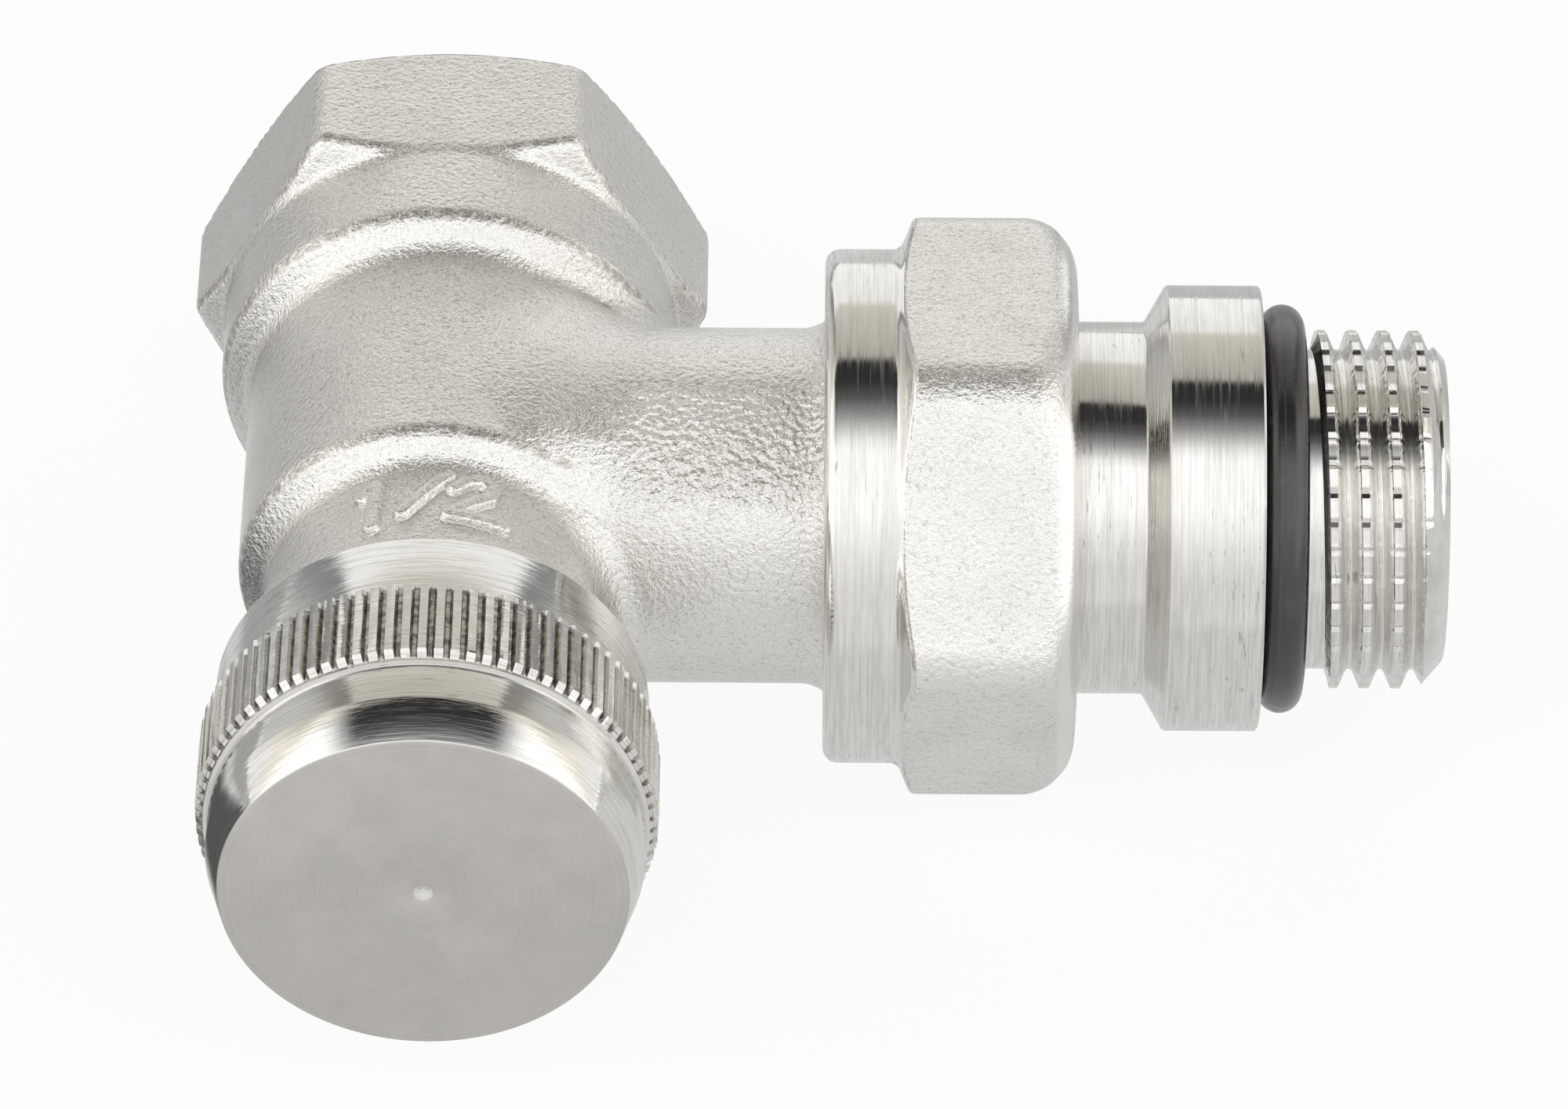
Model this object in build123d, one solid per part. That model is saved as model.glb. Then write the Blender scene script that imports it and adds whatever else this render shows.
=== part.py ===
from build123d import *
from math import atan2, cos, degrees, hypot, pi, radians, sin, sqrt, tan
import os

# Angle pattern lockshield valve for a radiator, 1/2 inch, nickel-plated brass, at full size in millimetres.
# The frame's origin is the centre of the pipe socket's mouth. The spindle lies along Y with the cap
# towards -Y, and the tail lies along X towards the radiator. The spindle stands at its open stop.

# Layout
inlet_reach = 25.4            # pipe socket's mouth to the tail's axis
tail_reach = 58.0             # spindle's axis to the end of the tail

# Thread sizes, each drawn as a plain cylinder at its crest
pipe_thread_dia = 20.955
tail_thread_dia = 20.7
union_thread_dia = 26.3
cap_thread_dia = 19.9         # also the cast neck's outside
bonnet_thread_dia = 16.0
spindle_thread_dia = 10.0
thread_gap = 0.06             # radial room in a thread that turns
static_gap = 0.02             # radial room in a thread that is screwed home
running_gap = 0.05            # radial room of a smooth shaft
ring_gap = 0.01               # between an O-ring and its groove's floor
groove_side_gap = 0.1

# Valve body
socket_flats = 26.6           # for a 27 mm spanner
socket_corner_rounding = 1.2
socket_hex_length = 9.3
socket_mouth_dia = 25.6       # the pipe end's chamfer meets the end face on this circle
hex_chamfer_angle = 30.0
hex_edge_rounding = 0.8
socket_depth = 13.0
collar_dia = socket_flats     # runs out flush into the middle of each flat
collar_end = -9.9             # heights count from the tail's axis towards the cap
collar_edge_rounding = 0.95
step_fillet = 0.7
barrel_dia = 23.1
barrel_end = 6.5
barrel_edge_rounding = 0.8
neck_dia = cap_thread_dia
neck_end = 24.0
neck_chamfer = 0.6
branch_dia = 20.6
branch_fillet = 2.0
branch_flare_start = 20.8
branch_flare_radius = 2.3
union_thread_end = 31.5
union_thread_chamfer = 0.8
waterway_dia = 13.0
seat_bore_dia = 12.0
seat_lip_dia = seat_bore_dia + 1.6
seat_lip_height = 0.8
seat_height = -6.0
chamber_dia = bonnet_thread_dia - 0.4
outlet_bore_dia = 13.0
spigot_bore_dia = 21.2
spigot_bore_depth = 4.5
mark_stroke = 0.85
mark_relief = 0.35
mark_foot = 13.05             # height of the raised size mark's foot
mark_one = ((-3.4, 0.1), (-3.15, 3.5), (-3.95, 2.75))
mark_slash = ((-1.7, 0.85), (-0.85, 1.9), (0.0, 3.0), (0.85, 3.85))
mark_two = ((1.25, 2.85), (1.8, 3.5), (2.75, 3.85), (3.4, 3.35), (3.2, 2.5), (2.1, 1.65), (0.95, 0.65),
            (4.0, 0.35))

# Cap
cap_rim = 16.85
cap_band_dia = neck_dia + 4.7
cap_knurl_dia = cap_band_dia + 1.4
cap_knurl_root_dia = cap_band_dia + 0.6
cap_knurl_start = cap_rim + 4.5
cap_knurl_end = cap_knurl_start + 5.9
cap_knurl_chamfer = 0.3
cap_knurl_ribs = 88
cap_rib_crest_share = 0.58
cap_cone_start = cap_knurl_end + 2.9
cap_face_dia = cap_band_dia - 1.6
cap_end = cap_cone_start + 2.85
cap_end_wall = 2.7
cap_rim_rounding = 0.25
dimple_dia = 1.3
dimple_depth = 0.35

# Cap gasket
cap_gasket_thickness = 1.3
cap_gasket_bore_dia = spindle_thread_dia + 1.4
cap_gasket_rim_gap = 0.4

# Bonnet
bonnet_hex_flats = bonnet_thread_dia
bonnet_nose_end = 8.0
bonnet_nose_dia = bonnet_thread_dia - 1.6
bonnet_ring_section = 1.6
bonnet_ring_height = bonnet_nose_end + 4.6
bonnet_thread_start = bonnet_ring_height + 1.4
bonnet_mouth_dia = spindle_thread_dia + 0.6
bonnet_mouth_depth = 0.8
bonnet_nose_chamfer = 0.4
bonnet_head_drop = 0.7        # the head's corners are bevelled this far down
bonnet_head_bevel = 1.6

# Spindle
travel = 4.5
stop_gap = 0.3                # collar to bonnet nose at the open stop
seat_gap = 0.05               # gasket to seat when closed
spindle_collar_dia = chamber_dia - 2.6
spindle_collar_length = 1.6
spindle_land_dia = spindle_thread_dia - 0.1
spindle_shank_dia = spindle_thread_dia - 2.0
spindle_tip_dia = 5.0
spindle_ring_section = 1.6
spindle_end = cap_end - cap_end_wall - cap_gasket_thickness - 0.4
spindle_thread_end = spindle_end - 0.8
spindle_thread_start = spindle_thread_end - 5.6
spindle_relief = 0.6          # undercut before the thread
bonnet_plain_bore_end = spindle_thread_start - travel - 0.1
spindle_ring_heights = (bonnet_plain_bore_end - 3.7, bonnet_plain_bore_end - 1.3)
spindle_end_dia = spindle_thread_dia - 1.2
spindle_end_chamfer = 0.3
spindle_tip_inset = 0.1       # the tip stops short of the gasket's face
key_flats = 6.0
key_depth = 6.0

# Valve disc, gasket, washer and screw
disc_dia = chamber_dia - 1.0
disc_thickness = 3.9
disc_chamfer = 0.8
gasket_recess = 1.4
gasket_thickness = 2.0
gasket_dia = disc_dia - 0.7
washer_dia = 8.4
washer_thickness = 0.8
screw_dia = 3.0
screw_head_dia = 6.4
screw_head_height = 2.0
screw_slot_width = 0.8
screw_slot_depth = 0.9
screw_depth = 5.0
screw_end_room = 0.4
screw_head_rounding = 0.5

# Union nut
nut_flats = union_thread_dia + 3.7
nut_corner_rounding = 1.6
nut_start = union_thread_end - 9.35
nut_hex_start = nut_start + 4.35
nut_end = nut_hex_start + 10.2
nut_hex_chamfer_angle = 22.0
nut_end_rounding = 1.5
nut_skirt_dia = nut_flats - 0.2
nut_skirt_rounding = 0.9
nut_shoulder = nut_end - 2.6
nut_bore_gap = 0.18
nut_mouth_chamfer = 0.4
nut_corner_turn = 6.0         # one corner lies this far above the cap's side of the nut

# Tail piece
tail_tube_dia = spigot_bore_dia + 0.36
tail_cone_start = nut_end + 3.95
tail_flange_start = tail_cone_start + 1.2
tail_flange_end = tail_flange_start + 5.5
tail_flange_dia = 25.84
tail_flange_rounding = 0.25
tail_thread_start = tail_flange_end + 2.65
tail_groove_dia = tail_thread_dia - 2.1
tail_end_chamfer = 0.75
tail_bore_dia = 13.4
tail_key_flats = 12.0
tail_key_depth = 13.0
spigot_gap = 0.15
spigot_end_gap = 0.3
spigot_chamfer = 0.5
tail_thread_bevel = 0.6
union_ring_section = 1.8
union_ring_position = union_thread_end - 1.9

# Tail sealing ring and split retaining ring
tail_ring_section = 2.55
split_ring_section = 1.5
split_ring_dia = union_thread_dia - 1.7
split_ring_groove_dia = tail_tube_dia - 2.56
split_ring_gap_angle = 24.0


def turned(points):
    # A solid of revolution about Z. A point is radius, height and, if its corner is rounded, a radius.
    face = make_face(Polyline(*[(p[0], 0, p[1]) for p in points], close=True)).face()
    for point in points:
        if len(point) > 2:
            corner = face.vertices().sort_by_distance((point[0], 0, point[1]))[0]
            face = face.fillet_2d(point[2], [corner])
    return revolve(face, Axis.Z)


def tube(start, end, outer_dia, inner_dia):
    inner, outer = inner_dia / 2, outer_dia / 2
    return turned([(inner, start), (outer, start), (outer, end), (inner, end)])


def rod(start, end, dia):
    return turned([(0, start), (dia / 2, start), (dia / 2, end), (0, end)])


def o_ring(height, section, outer_dia):
    circle = Plane.XZ * Pos(outer_dia / 2 - section / 2, height) * Circle(section / 2)
    return revolve(circle, Axis.Z)


def hexagon(start, end, flats, corner_rounding=0.0, turn=0.0):
    outline = RegularPolygon(flats / 2, 6, major_radius=False, rotation=turn)
    prism = Pos(0, 0, start) * extrude(outline, end - start)
    if corner_rounding:
        prism = fillet(prism.edges().filter_by(Axis.Z), corner_rounding)
    return prism


def on_spindle(shape):
    # From height along Z, counted from the tail's axis, to the row's frame
    return Pos(0, -inlet_reach, 0) * Rot(90, 0, 0) * shape


def on_tail(shape):
    # From distance along Z, counted from the spindle's axis, to the row's frame
    return Pos(0, -inlet_reach, 0) * Rot(0, 90, 0) * shape


def branch_way(shape):
    # From distance along Z to the spindle's own frame, where the branch points along X
    return Rot(0, 90, 0) * shape


def socket_hexagon():
    start = -inlet_reach
    end = start + socket_hex_length
    slope = tan(radians(hex_chamfer_angle))
    corner = socket_flats / sqrt(3) + 0.5
    far_rise = (corner - socket_mouth_dia / 2) * slope
    near_rise = (corner - collar_dia / 2) * slope
    cutter = turned([(0, start), (socket_mouth_dia / 2, start), (corner, start + far_rise),
                     (corner, end - near_rise, hex_edge_rounding), (collar_dia / 2, end), (0, end)])
    return hexagon(start, end, socket_flats, socket_corner_rounding) & cutter


def body_outside():
    low = -inlet_reach + socket_hex_length / 2
    collar, side, neck = collar_dia / 2, barrel_dia / 2, neck_dia / 2
    barrel = turned([(0, low), (collar, low), (collar, collar_end, collar_edge_rounding),
                     (side, collar_end, step_fillet), (side, barrel_end, barrel_edge_rounding),
                     (neck, barrel_end, step_fillet), (neck, neck_end - neck_chamfer),
                     (neck - neck_chamfer, neck_end), (0, neck_end)])
    elbow = rod(seat_height, cap_rim, neck_dia) + branch_way(rod(0, branch_flare_start, branch_dia))
    crotch = elbow.edges().filter_by(GeomType.BSPLINE).filter_by(lambda edge: edge.center().Z > 0)
    return barrel + elbow.fillet(branch_fillet, crotch) + socket_hexagon()


def union_end():
    # The flare that grows from the branch into the union thread
    inner = branch_dia / 2
    crest = union_thread_dia / 2
    start = branch_flare_start - 1
    flare_end = branch_flare_start + branch_flare_radius
    return branch_way(turned([(0, start), (inner, start), (inner, flare_end, branch_flare_radius),
                              (crest, flare_end), (crest, union_thread_end - union_thread_chamfer),
                              (crest - union_thread_chamfer, union_thread_end), (0, union_thread_end)]))


def body_inside():
    socket = rod(-inlet_reach - 1, -inlet_reach + socket_depth, pipe_thread_dia)
    way = rod(-inlet_reach + socket_depth - 1, seat_height - 1, waterway_dia)
    seat_bore = rod(seat_height - 2, seat_height + 1, seat_bore_dia)
    chamber = rod(seat_height - seat_lip_height, neck_end + 1, chamber_dia)
    lip = tube(seat_height - seat_lip_height - 0.5, seat_height, seat_lip_dia, seat_bore_dia)
    thread = rod(bonnet_ring_height - bonnet_ring_section, neck_end + 1, bonnet_thread_dia + 2 * static_gap)
    outlet = branch_way(rod(0, union_thread_end + 1, outlet_bore_dia))
    spigot = branch_way(rod(union_thread_end - spigot_bore_depth, union_thread_end + 1, spigot_bore_dia))
    return (socket + way + seat_bore + (chamber - lip) + thread + spigot) + (outlet - lip)


def pen_line(points):
    # A line with round ends and corners, drawn flat
    drawn = Sketch()
    for (x1, y1), (x2, y2) in zip(points, points[1:]):
        slot = SlotCenterToCenter(hypot(x2 - x1, y2 - y1), mark_stroke)
        drawn += Pos((x1 + x2) / 2, (y1 + y2) / 2) * Rot(0, 0, degrees(atan2(y2 - y1, x2 - x1))) * slot
    return drawn


def size_mark():
    # A raised 1/2 on the neck's upper side, read with the pipe socket up
    page = Plane(origin=(0, 0, mark_foot), x_dir=(1, 0, 0), z_dir=(0, 1, 0))
    ring = tube(barrel_end, cap_rim, neck_dia + 2 * mark_relief, neck_dia - mark_relief)
    return [extrude(page * pen_line(points), neck_dia) & ring for points in (mark_one, mark_slash, mark_two)]


def valve_body():
    solid = body_outside() + union_end()
    for mark in size_mark():
        solid += mark
    return on_spindle(solid - body_inside())


def cap():
    bore = cap_thread_dia + 2 * thread_gap
    floor = cap_end - cap_end_wall
    band = cap_band_dia / 2
    shell = turned([(bore / 2, cap_rim), (band, cap_rim, cap_rim_rounding), (band, cap_cone_start),
                    (cap_face_dia / 2, cap_end), (0, cap_end), (0, floor), (bore / 2, floor)])
    rim = dimple_dia / 2
    centre_mark = turned([(0, cap_end - dimple_depth), (rim, cap_end), (rim, cap_end + 1), (0, cap_end + 1)])
    return on_spindle(shell + knurl(bore) - centre_mark)


def knurl(bore):
    # Straight ribs with flat crests: each rib is two crest corners, and each valley one point
    crest = cap_knurl_dia / 2
    root = cap_knurl_root_dia / 2
    pitch = 2 * pi / cap_knurl_ribs
    outline = []
    for rib in range(cap_knurl_ribs):
        middle = rib * pitch
        for side in (-0.5, 0.5):
            angle = middle + side * cap_rib_crest_share * pitch
            outline.append((crest * cos(angle), crest * sin(angle)))
        angle = middle + pitch / 2
        outline.append((root * cos(angle), root * sin(angle)))
    start, end, edge = cap_knurl_start, cap_knurl_end, cap_knurl_chamfer
    ribs = Pos(0, 0, start) * extrude(make_face(Polyline(*outline, close=True)), end - start)
    ends = turned([(bore / 2 + 0.5, start), (crest - edge, start), (crest, start + edge), (crest, end - edge),
                   (crest - edge, end), (bore / 2 + 0.5, end)])
    return ribs & ends


def cap_gasket():
    outer = cap_thread_dia + 2 * thread_gap - 2 * cap_gasket_rim_gap
    floor = cap_end - cap_end_wall
    return on_spindle(tube(floor - cap_gasket_thickness, floor, outer, cap_gasket_bore_dia))


def bonnet_top():
    return cap_end - cap_end_wall - cap_gasket_thickness


def bonnet():
    top = bonnet_top()
    nose = bonnet_nose_dia / 2
    groove_floor = bonnet_thread_dia / 2 - bonnet_ring_section - ring_gap
    low = bonnet_ring_height - bonnet_ring_section / 2 - groove_side_gap
    high = bonnet_ring_height + bonnet_ring_section / 2 + groove_side_gap
    thread = bonnet_thread_dia / 2
    outside = turned([(0, bonnet_nose_end), (nose - bonnet_nose_chamfer, bonnet_nose_end),
                      (nose, bonnet_nose_end + bonnet_nose_chamfer), (nose, low), (groove_floor, low),
                      (groove_floor, high), (nose, high), (nose, bonnet_thread_start),
                      (thread, bonnet_thread_start), (thread, neck_end), (0, neck_end)])
    corner = bonnet_hex_flats / sqrt(3)
    bevel = turned([(0, neck_end), (corner, neck_end), (corner, top - bonnet_head_drop),
                    (corner - bonnet_head_bevel, top), (0, top)])
    head = hexagon(neck_end, top, bonnet_hex_flats) & bevel
    plain_bore = rod(bonnet_nose_end - 1, bonnet_plain_bore_end + 1, spindle_land_dia + 2 * running_gap)
    thread_bore = rod(bonnet_plain_bore_end, top + 1, spindle_thread_dia + 2 * thread_gap)
    mouth = rod(top - bonnet_mouth_depth, top + 1, bonnet_mouth_dia)
    return on_spindle(outside + head - plain_bore - thread_bore - mouth)


def bonnet_o_ring():
    return on_spindle(o_ring(bonnet_ring_height, bonnet_ring_section, bonnet_thread_dia))


def collar_top():
    return bonnet_nose_end - stop_gap


def gasket_face():
    return seat_height + seat_gap + travel


def disc_back():
    return gasket_face() + gasket_thickness - gasket_recess + disc_thickness


def spindle():
    land = spindle_land_dia / 2
    shank = spindle_shank_dia / 2
    thread = spindle_thread_dia / 2
    end = spindle_end_dia / 2
    collar = spindle_collar_dia / 2
    collar_low = collar_top() - spindle_collar_length
    groove = spindle_ring_dia() / 2 - spindle_ring_section - ring_gap
    half = spindle_ring_section / 2 + groove_side_gap
    tip = spindle_tip_dia / 2
    tip_end = gasket_face() + spindle_tip_inset
    points = [(0, tip_end), (tip, tip_end), (tip, disc_back()), (shank, disc_back()), (shank, collar_low),
              (collar, collar_low), (collar, collar_top()), (land, collar_top())]
    for height in spindle_ring_heights:
        low, high = height - half, height + half
        points += [(land, low), (groove, low), (groove, high), (land, high)]
    relief_start = spindle_thread_start - spindle_relief
    points += [(land, relief_start), (shank, relief_start), (shank, spindle_thread_start),
               (thread, spindle_thread_start), (thread, spindle_thread_end), (end, spindle_thread_end),
               (end, spindle_end - spindle_end_chamfer), (end - spindle_end_chamfer, spindle_end),
               (0, spindle_end)]
    key = hexagon(spindle_end - key_depth, spindle_end + 1, key_flats)
    screw_hole = rod(gasket_face() - 1, gasket_face() + screw_depth + screw_end_room, screw_dia)
    return on_spindle(turned(points) - key - screw_hole)


def spindle_ring_dia():
    # Midway between the land and the bonnet's plain bore
    return spindle_land_dia + running_gap


def spindle_o_ring(height):
    return on_spindle(o_ring(height, spindle_ring_section, spindle_ring_dia()))


def valve_disc():
    back = disc_back()
    rim = back - disc_thickness
    bore = spindle_tip_dia / 2
    outer = disc_dia / 2
    recess = gasket_dia / 2
    floor = gasket_face() + gasket_thickness
    return on_spindle(turned([(bore, floor), (recess, floor), (recess, rim), (outer, rim),
                              (outer, back - disc_chamfer), (outer - disc_chamfer, back), (bore, back)]))


def seat_gasket():
    start = gasket_face()
    return on_spindle(tube(start, start + gasket_thickness, gasket_dia, spindle_tip_dia))


def gasket_washer():
    face = gasket_face()
    return on_spindle(tube(face - washer_thickness, face, washer_dia, screw_dia))


def disc_screw():
    seat = gasket_face() - washer_thickness
    top = seat - screw_head_height
    rim = screw_head_dia / 2
    head = turned([(0, top), (rim, top, screw_head_rounding), (rim, seat), (0, seat)])
    shank = rod(seat, gasket_face() + screw_depth, screw_dia)
    slot = Pos(0, 0, top) * Box(screw_head_dia + 1, screw_slot_width, 2 * screw_slot_depth)
    return on_spindle(head + shank - slot)


def union_nut():
    corner = nut_flats / sqrt(3)
    skirt = nut_skirt_dia / 2
    rise = (corner - skirt) * tan(radians(nut_hex_chamfer_angle))
    body = hexagon(nut_hex_start, nut_end, nut_flats, nut_corner_rounding, -90 - nut_corner_turn)
    shape = turned([(0, nut_hex_start), (skirt, nut_hex_start), (corner, nut_hex_start + rise),
                    (corner, nut_end, nut_end_rounding), (0, nut_end)])
    band_end = nut_hex_start + rise
    band = turned([(0, nut_start), (skirt, nut_start, nut_skirt_rounding), (skirt, band_end), (0, band_end)])
    thread = union_thread_dia / 2 + thread_gap
    hole = tail_tube_dia / 2 + nut_bore_gap
    mouth = thread + nut_mouth_chamfer
    inside = turned([(0, nut_start - 1), (mouth, nut_start - 1), (mouth, nut_start),
                     (thread, nut_start + nut_mouth_chamfer), (thread, nut_shoulder), (hole, nut_shoulder),
                     (hole, nut_end + 1), (0, nut_end + 1)])
    return on_tail((body & shape) + band - inside)


def tail_piece():
    tube_r = tail_tube_dia / 2
    spigot = spigot_bore_dia / 2 - spigot_gap
    start = union_thread_end - spigot_bore_depth + spigot_end_gap
    ring_low = union_ring_position - union_ring_section / 2 - groove_side_gap
    ring_high = union_ring_position + union_ring_section / 2 + groove_side_gap
    ring_floor = union_ring_dia() / 2 - union_ring_section - ring_gap
    split_low = split_start() - running_gap
    split_high = split_start() + split_ring_section + running_gap
    split_floor = split_ring_groove_dia / 2
    flange = tail_flange_dia / 2
    thread = tail_thread_dia / 2
    outside = turned([(0, start), (spigot - spigot_chamfer, start), (spigot, start + spigot_chamfer),
                      (spigot, ring_low), (ring_floor, ring_low), (ring_floor, ring_high),
                      (spigot, ring_high), (spigot, union_thread_end),
                      (tube_r, union_thread_end + tube_r - spigot), (tube_r, split_low),
                      (split_floor, split_low), (split_floor, split_high), (tube_r, split_high),
                      (tube_r, tail_cone_start),
                      (flange, tail_flange_start), (flange, tail_flange_end, tail_flange_rounding),
                      (tail_groove_dia / 2, tail_flange_end), (tail_groove_dia / 2, tail_thread_start),
                      (thread, tail_thread_start + tail_thread_bevel),
                      (thread, tail_reach - tail_end_chamfer),
                      (thread - tail_end_chamfer, tail_reach), (0, tail_reach)])
    way = rod(start - 1, tail_reach - tail_key_depth + 1, tail_bore_dia)
    key = hexagon(tail_reach - tail_key_depth, tail_reach + 1, tail_key_flats)
    return on_tail(outside - way - key)


def split_start():
    return nut_shoulder - split_ring_section


def nut_retaining_ring():
    ring = tube(split_start(), nut_shoulder, split_ring_dia, split_ring_groove_dia + 2 * running_gap)
    half = radians(split_ring_gap_angle / 2)
    reach = split_ring_dia
    far, side = reach * cos(half), reach * sin(half)
    wedge = make_face(Polyline((0, 0), (far, side), (far, -side), close=True))
    return on_tail(ring - Pos(0, 0, split_start() - 1) * extrude(wedge, split_ring_section + 2))


def union_ring_dia():
    return spigot_bore_dia - 2 * running_gap


def union_o_ring():
    return on_tail(o_ring(union_ring_position, union_ring_section, union_ring_dia()))


def tail_o_ring():
    outer = tail_groove_dia + 2 * tail_ring_section
    return on_tail(o_ring(tail_flange_end + tail_ring_section / 2, tail_ring_section, outer))


pieces = {
    "valve_body": valve_body(),
    "bonnet": bonnet(),
    "bonnet_o_ring": bonnet_o_ring(),
    "spindle": spindle(),
    "spindle_o_ring_inner": spindle_o_ring(spindle_ring_heights[0]),
    "spindle_o_ring_outer": spindle_o_ring(spindle_ring_heights[1]),
    "valve_disc": valve_disc(),
    "seat_gasket": seat_gasket(),
    "gasket_washer": gasket_washer(),
    "disc_screw": disc_screw(),
    "cap": cap(),
    "cap_gasket": cap_gasket(),
    "union_nut": union_nut(),
    "nut_retaining_ring": nut_retaining_ring(),
    "union_o_ring": union_o_ring(),
    "tail_piece": tail_piece(),
    "tail_o_ring": tail_o_ring(),
}

os.makedirs("parts", exist_ok=True)
for name, piece in pieces.items():
    export_step(piece, "parts/" + name + ".step")
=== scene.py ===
import math
import bpy
import bmesh
import numpy as np
from mathutils import Matrix, Vector


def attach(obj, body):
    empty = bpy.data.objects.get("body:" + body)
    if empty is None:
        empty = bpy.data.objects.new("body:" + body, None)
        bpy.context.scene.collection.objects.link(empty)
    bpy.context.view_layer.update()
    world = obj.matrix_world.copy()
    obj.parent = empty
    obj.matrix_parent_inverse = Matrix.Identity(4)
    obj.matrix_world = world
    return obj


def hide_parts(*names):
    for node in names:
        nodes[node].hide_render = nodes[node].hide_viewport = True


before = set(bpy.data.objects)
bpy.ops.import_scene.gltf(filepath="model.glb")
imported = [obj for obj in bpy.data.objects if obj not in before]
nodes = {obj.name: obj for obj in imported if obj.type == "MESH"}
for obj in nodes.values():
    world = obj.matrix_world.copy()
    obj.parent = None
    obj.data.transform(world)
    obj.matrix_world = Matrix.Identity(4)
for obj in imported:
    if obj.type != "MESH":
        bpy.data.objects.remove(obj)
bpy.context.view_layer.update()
print("frame loaded:", len(nodes), "nodes")

# Everything below is written in millimetres and turned into metres where a mesh is made.
# A height counts from the tail's axis towards the cap, and a reach from the spindle's axis along the tail.
metre = 0.001
tailAxisY = -25.4
mergeReach = 2e-7  # in metres: points of a piece that lie closer than this are one


class Wire:
    # One output of a material's nodes. Sums and products of wires add the Math nodes for them.
    def __init__(self, tree, output=None):
        self.tree = tree
        self.output = output

    def add(self, kind, inputs=None, settings=None, output=0):
        # Any node: its settings first, then a value or a wire for each of its inputs
        node = self.tree.nodes.new(kind)
        for name, value in (settings or {}).items():
            if name == "stops":
                ramp = node.color_ramp
                while len(ramp.elements) < len(value):
                    ramp.elements.new(1.0)
                for element, (place, level) in zip(ramp.elements, value):
                    element.position = place
                    element.color = (level, level, level, 1.0)
            else:
                setattr(node, name, value)
        for name, value in (inputs or {}).items():
            if isinstance(value, Wire):
                self.tree.links.new(value.output, node.inputs[name])
            else:
                node.inputs[name].default_value = value
        return Wire(self.tree, node.outputs[output]) if node.outputs else None

    def math(self, operation, first, second=0.5, third=0.5):
        return self.add("ShaderNodeMath", {0: first, 1: second, 2: third}, {"operation": operation})

    def __add__(self, other):
        return self.math("ADD", self, other)

    __radd__ = __add__

    def __sub__(self, other):
        return self.math("SUBTRACT", self, other)

    def __rsub__(self, other):
        return self.math("SUBTRACT", other, self)

    def __mul__(self, other):
        return self.math("MULTIPLY", self, other)

    __rmul__ = __mul__

    def __truediv__(self, other):
        return self.math("DIVIDE", self, other)

    def root(self):
        return self.math("SQRT", self)

    def size(self):
        return self.math("ABSOLUTE", self)

    def greater(self, other):
        return self.math("MAXIMUM", self, other)

    def smaller(self, other):
        return self.math("MINIMUM", self, other)

    def step(self, low, high, first=0.0, last=1.0):
        # A smooth step from first to last while the value goes from low to high
        inputs = {"Value": self, "From Min": low, "From Max": high, "To Min": first, "To Max": last}
        return self.add("ShaderNodeMapRange", inputs, {"interpolation_type": "SMOOTHSTEP"})

    def ramp(self, stops):
        return self.add("ShaderNodeValToRGB", {"Fac": self}, {"stops": stops})

    def split(self):
        return [self.add("ShaderNodeSeparateXYZ", {"Vector": self}, output=axis) for axis in range(3)]

    def join(self, x, y, z):
        return self.add("ShaderNodeCombineXYZ", {"X": x, "Y": y, "Z": z})

    def noise(self, scale, detail=2.0, roughness=0.5):
        inputs = {"Vector": self, "Scale": scale, "Detail": detail, "Roughness": roughness}
        return self.add("ShaderNodeTexNoise", inputs)

    def cells(self, scale, smoothness=0.6):
        inputs = {"Vector": self, "Scale": scale, "Smoothness": smoothness}
        return self.add("ShaderNodeTexVoronoi", inputs, {"feature": "SMOOTH_F1"})

    def blend(self, first, second):
        # Between two colours, by this wire's value
        return self.add("ShaderNodeMix", {0: self, 6: first, 7: second}, {"data_type": "RGBA"}, 2)

    def bump(self, depth, strength=1.0, normal=None):
        # This wire's value is a height from 0 to 1, and depth is in millimetres
        inputs = {"Height": self, "Distance": depth * metre, "Strength": strength}
        if normal:
            inputs["Normal"] = normal
        return self.add("ShaderNodeBump", inputs)


def colour(red, green, blue):
    return (red, green, blue, 1.0)


def startMaterial(name):
    material = bpy.data.materials.new(name)
    material.use_nodes = True
    material.node_tree.nodes.clear()
    return material, Wire(material.node_tree)


def finishMaterial(wire, inputs):
    surface = wire.add("ShaderNodeBsdfPrincipled", inputs)
    wire.add("ShaderNodeOutputMaterial", {"Surface": surface})


def millimetres(wire):
    # The point on the piece, in millimetres in the part's frame
    place = wire.add("ShaderNodeTexCoord", output="Object")
    return wire.add("ShaderNodeVectorMath", {0: place, "Scale": 1 / metre}, {"operation": "SCALE"})


print("shader tools ready")


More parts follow.
